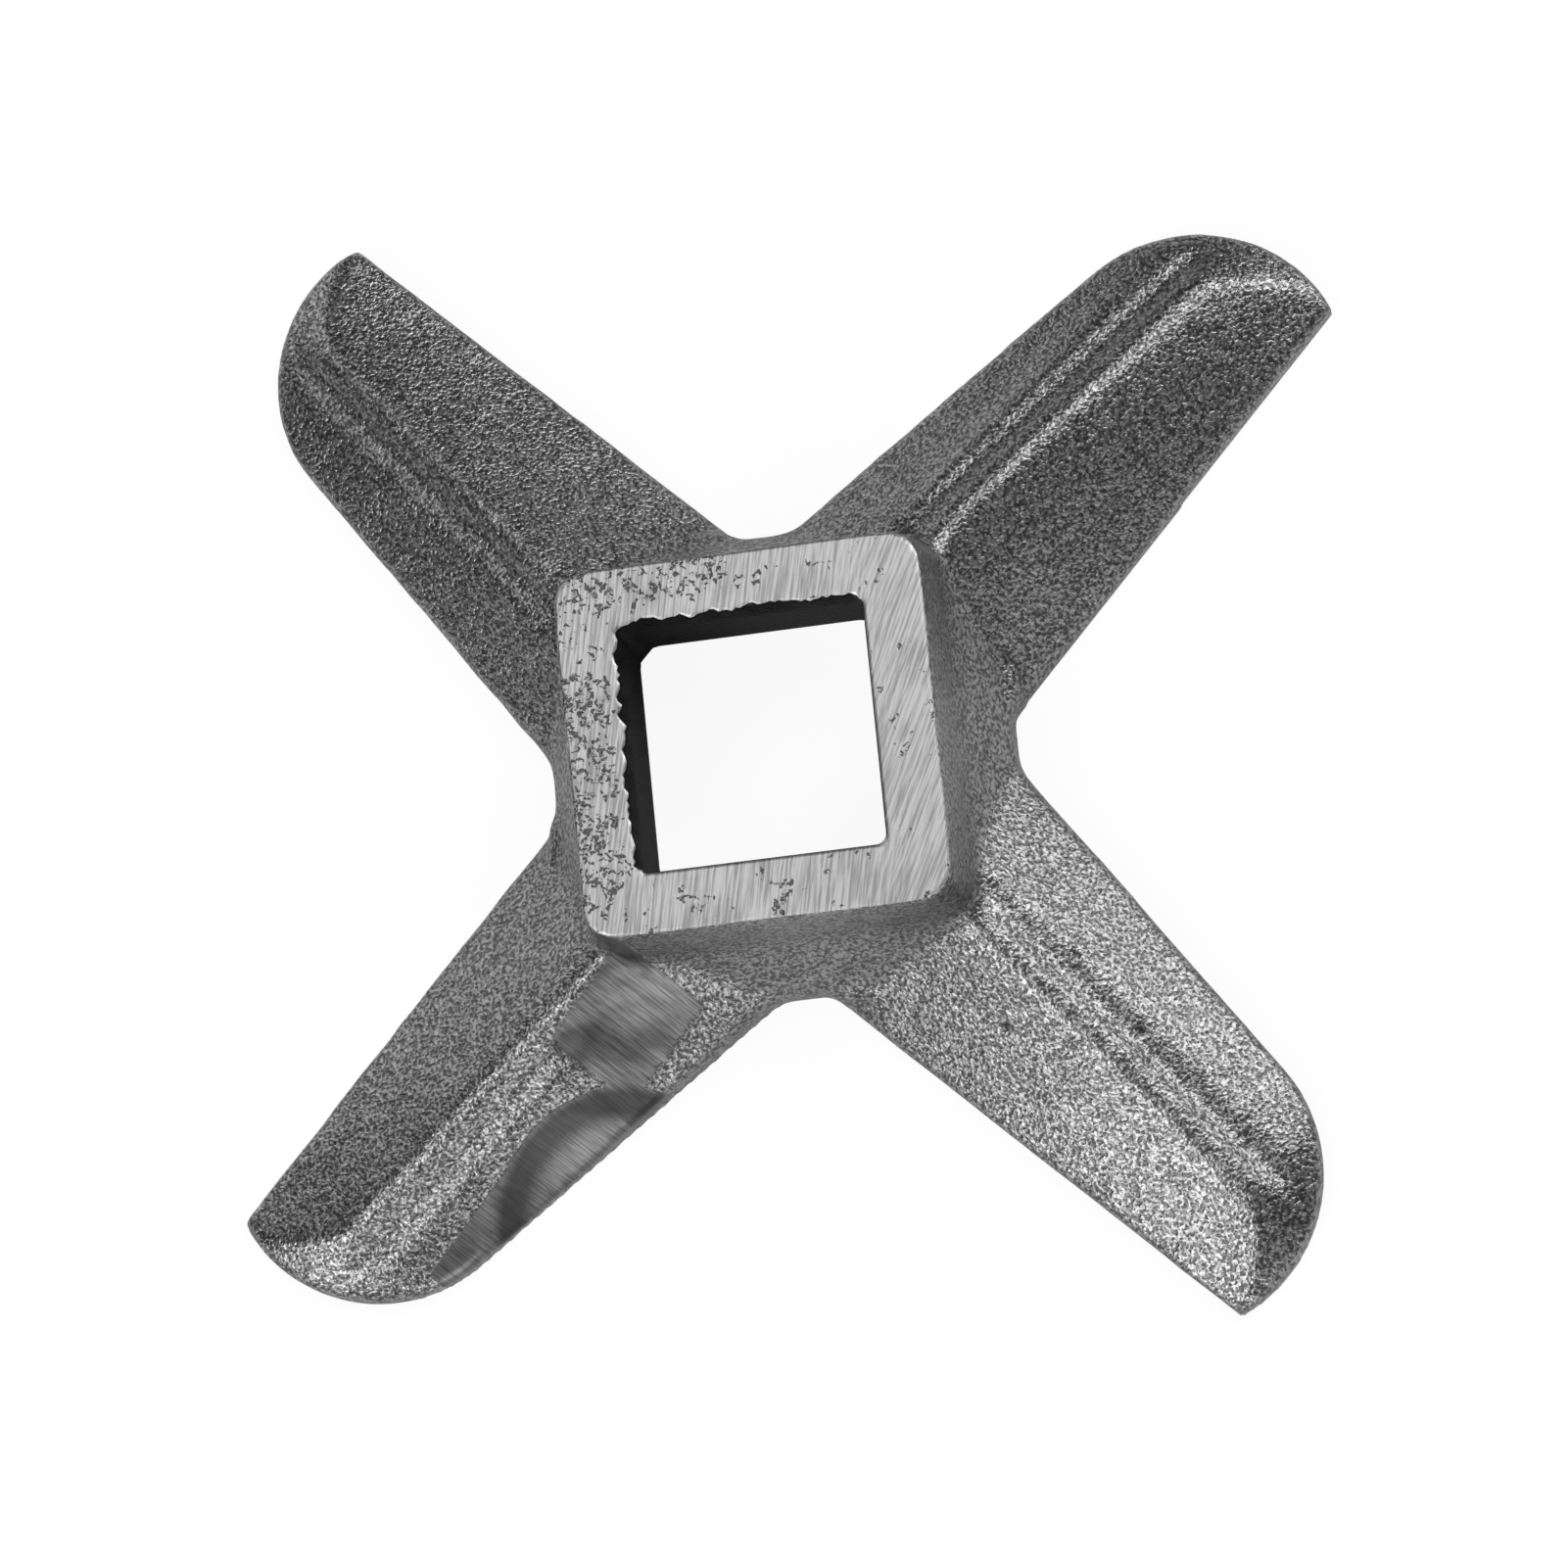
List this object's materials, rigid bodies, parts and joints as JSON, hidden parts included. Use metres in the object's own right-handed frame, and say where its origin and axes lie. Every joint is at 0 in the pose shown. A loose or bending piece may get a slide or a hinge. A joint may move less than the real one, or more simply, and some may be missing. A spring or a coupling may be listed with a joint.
{
  "type": "meat grinder knife",
  "caption": "Cast cross-shaped meat grinder knife with a raised square hub, a square drive hole, ridged blades and round blade ends.",
  "frame": {"origin": "on the drive hole's axis, in the plane of the cutting edges that the knife lies on", "axes": "+Z along the drive hole's axis towards the hub face; X and Y square to the hub's sides; the arms lie on the diagonals"},
  "size_m": [0.0636, 0.0636, 0.012],
  "materials": {
    "cast_metal": "rough as-cast skin, ground bright on the hub face and the cutting face"
  },
  "bodies": {
    "root": {"grinder_knife": "cast_metal"}
  },
  "joints": []
}
